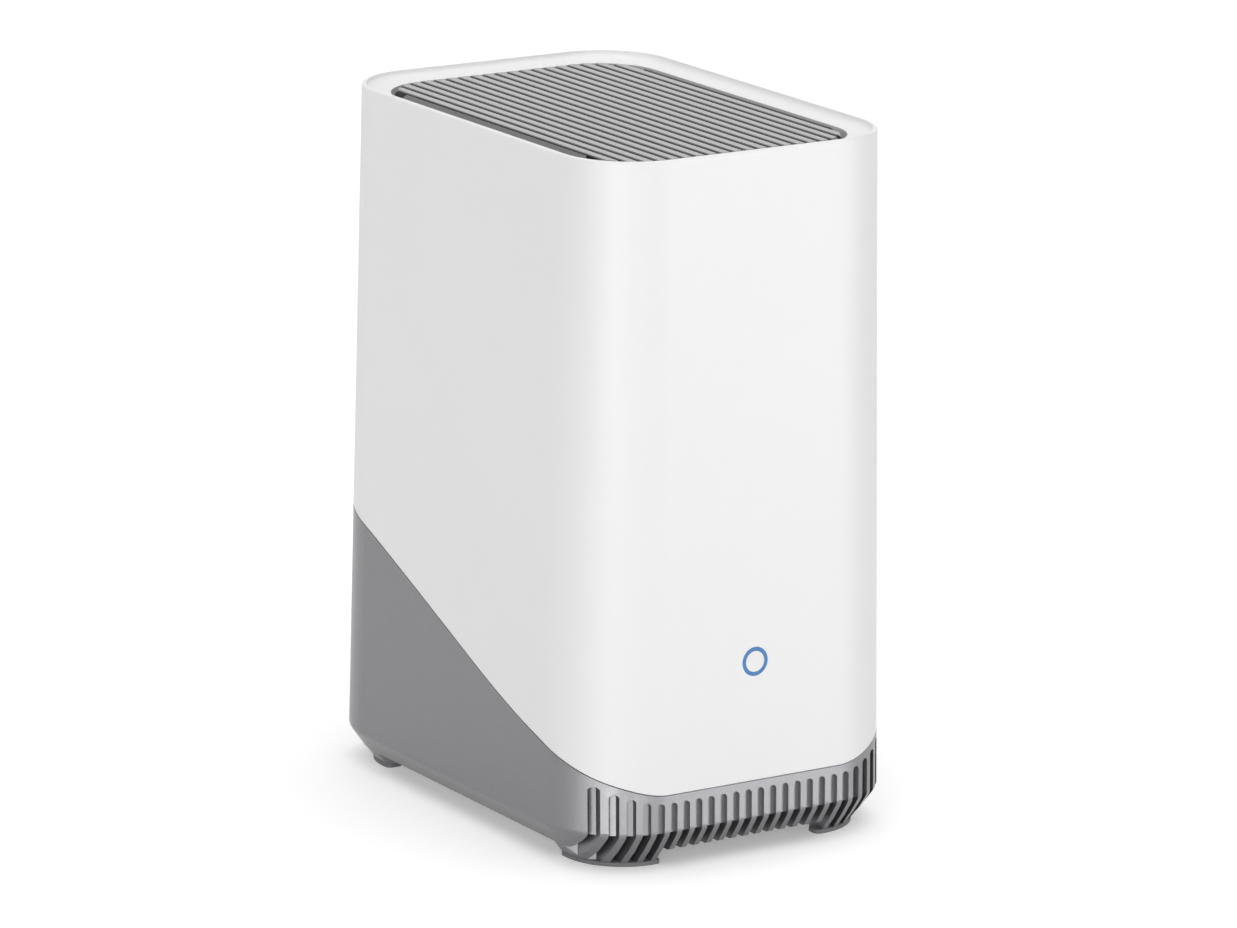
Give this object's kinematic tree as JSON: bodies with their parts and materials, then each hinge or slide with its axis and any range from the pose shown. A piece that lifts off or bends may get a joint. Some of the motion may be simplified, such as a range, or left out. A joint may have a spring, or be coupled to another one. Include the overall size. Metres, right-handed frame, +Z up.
{
  "type": "security camera base station",
  "caption": "White tower base station on a grey vented base, with a ribbed top grille, a front light ring and a rear port panel with a press-in sync button.",
  "frame": {"origin": "centre of the footprint, on the surface that the four feet stand on", "axes": "+Z up; the front with the light ring faces -Y, the rear port panel faces +Y, and +X is to the right of someone who looks at the front"},
  "size_m": [0.105, 0.1498, 0.198],
  "materials": {
    "white_shell": "fine satin moulded ABS, white",
    "grille_grey": "satin moulded ABS, mid grey",
    "grey_base": "fine satin moulded ABS, mid grey",
    "foot_rubber": "matt silicone rubber, grey",
    "port_black": "matt moulded ABS, near black",
    "ring_blue": "translucent light pipe, lit blue",
    "ring_white": "satin moulded ABS, white",
    "frame_plastic": "moulded ABS, black",
    "board_green": "solder mask on glass epoxy, green",
    "antenna_board": "solder mask on glass epoxy, dark blue",
    "chip_black": "moulded epoxy, black",
    "shield_steel": "tinned pressed steel",
    "screw_steel": "zinc plated steel",
    "sink_aluminium": "extruded, clear anodised",
    "pad_silicone": "soft silicone, blue grey",
    "coil_grey": "pressed ferrite, dark grey",
    "capacitor_can": "drawn can, satin",
    "contact_gold": "gold plated contact",
    "led_white": "clear epoxy over a pale chip",
    "button_grey": "satin moulded ABS, light grey",
    "speaker_black": "moulded ABS, black",
    "cone_paper": "pressed paper pulp, black",
    "magnet_ferrite": "sintered ferrite, dark grey",
    "gasket_foam": "closed cell foam, black",
    "wire_black": "PVC sheath, black",
    "ribbon_white": "polyester ribbon, white",
    "socket_ivory": "moulded nylon, ivory"
  },
  "bodies": {
    "casing": {"top_shell": "white_shell", "base_shell": "grey_base", "foot_pads": "foot_rubber", "case_screws": "screw_steel", "top_grille": "grille_grey", "light_ring": "ring_blue", "ring_centre": "ring_white", "ring_light_board": "board_green", "ring_board_screws": "screw_steel", "ring_leds": "led_white", "port_bezel": "port_black", "inner_frame": "frame_plastic", "frame_screws": "screw_steel", "main_board": "board_green", "board_screws": "screw_steel", "processor": "chip_black", "thermal_pad": "pad_silicone", "heat_sink": "sink_aluminium", "heat_sink_pins": "speaker_black", "wifi_shield": "shield_steel", "camera_radio_shield": "shield_steel", "memory_chips": "chip_black", "storage_chip": "chip_black", "power_coils": "coil_grey", "capacitors": "capacitor_can", "ethernet_jack": "port_black", "ethernet_contacts": "contact_gold", "usb_shell": "shield_steel", "usb_tongue": "chip_black", "dc_jack": "port_black", "dc_pin": "shield_steel", "sync_switch": "chip_black", "speaker_box": "speaker_black", "speaker_box_screws": "screw_steel", "speaker_gasket": "gasket_foam", "speaker_frame": "speaker_black", "speaker_magnet": "magnet_ferrite", "speaker_cone": "cone_paper", "speaker_plug": "socket_ivory", "speaker_leads": "wire_black", "ribbon_sockets": "socket_ivory", "ring_ribbon": "ribbon_white", "antenna_carrier": "frame_plastic", "wifi_antenna_left": "antenna_board", "wifi_antenna_right": "antenna_board", "camera_antenna": "antenna_board", "antenna_plugs": "contact_gold", "antenna_lead_left": "wire_black", "antenna_lead_right": "wire_black", "antenna_lead_rear": "wire_black"},
    "sync_button": {"sync_button": "button_grey", "sync_plunger": "chip_black"}
  },
  "joints": [
    {"name": "sync_press", "type": "slide", "parent": "casing", "child": "sync_button", "axis": [0, -1, 0], "range_m": [0, 0.0005], "stiffness_N_per_m": 900}
  ]
}
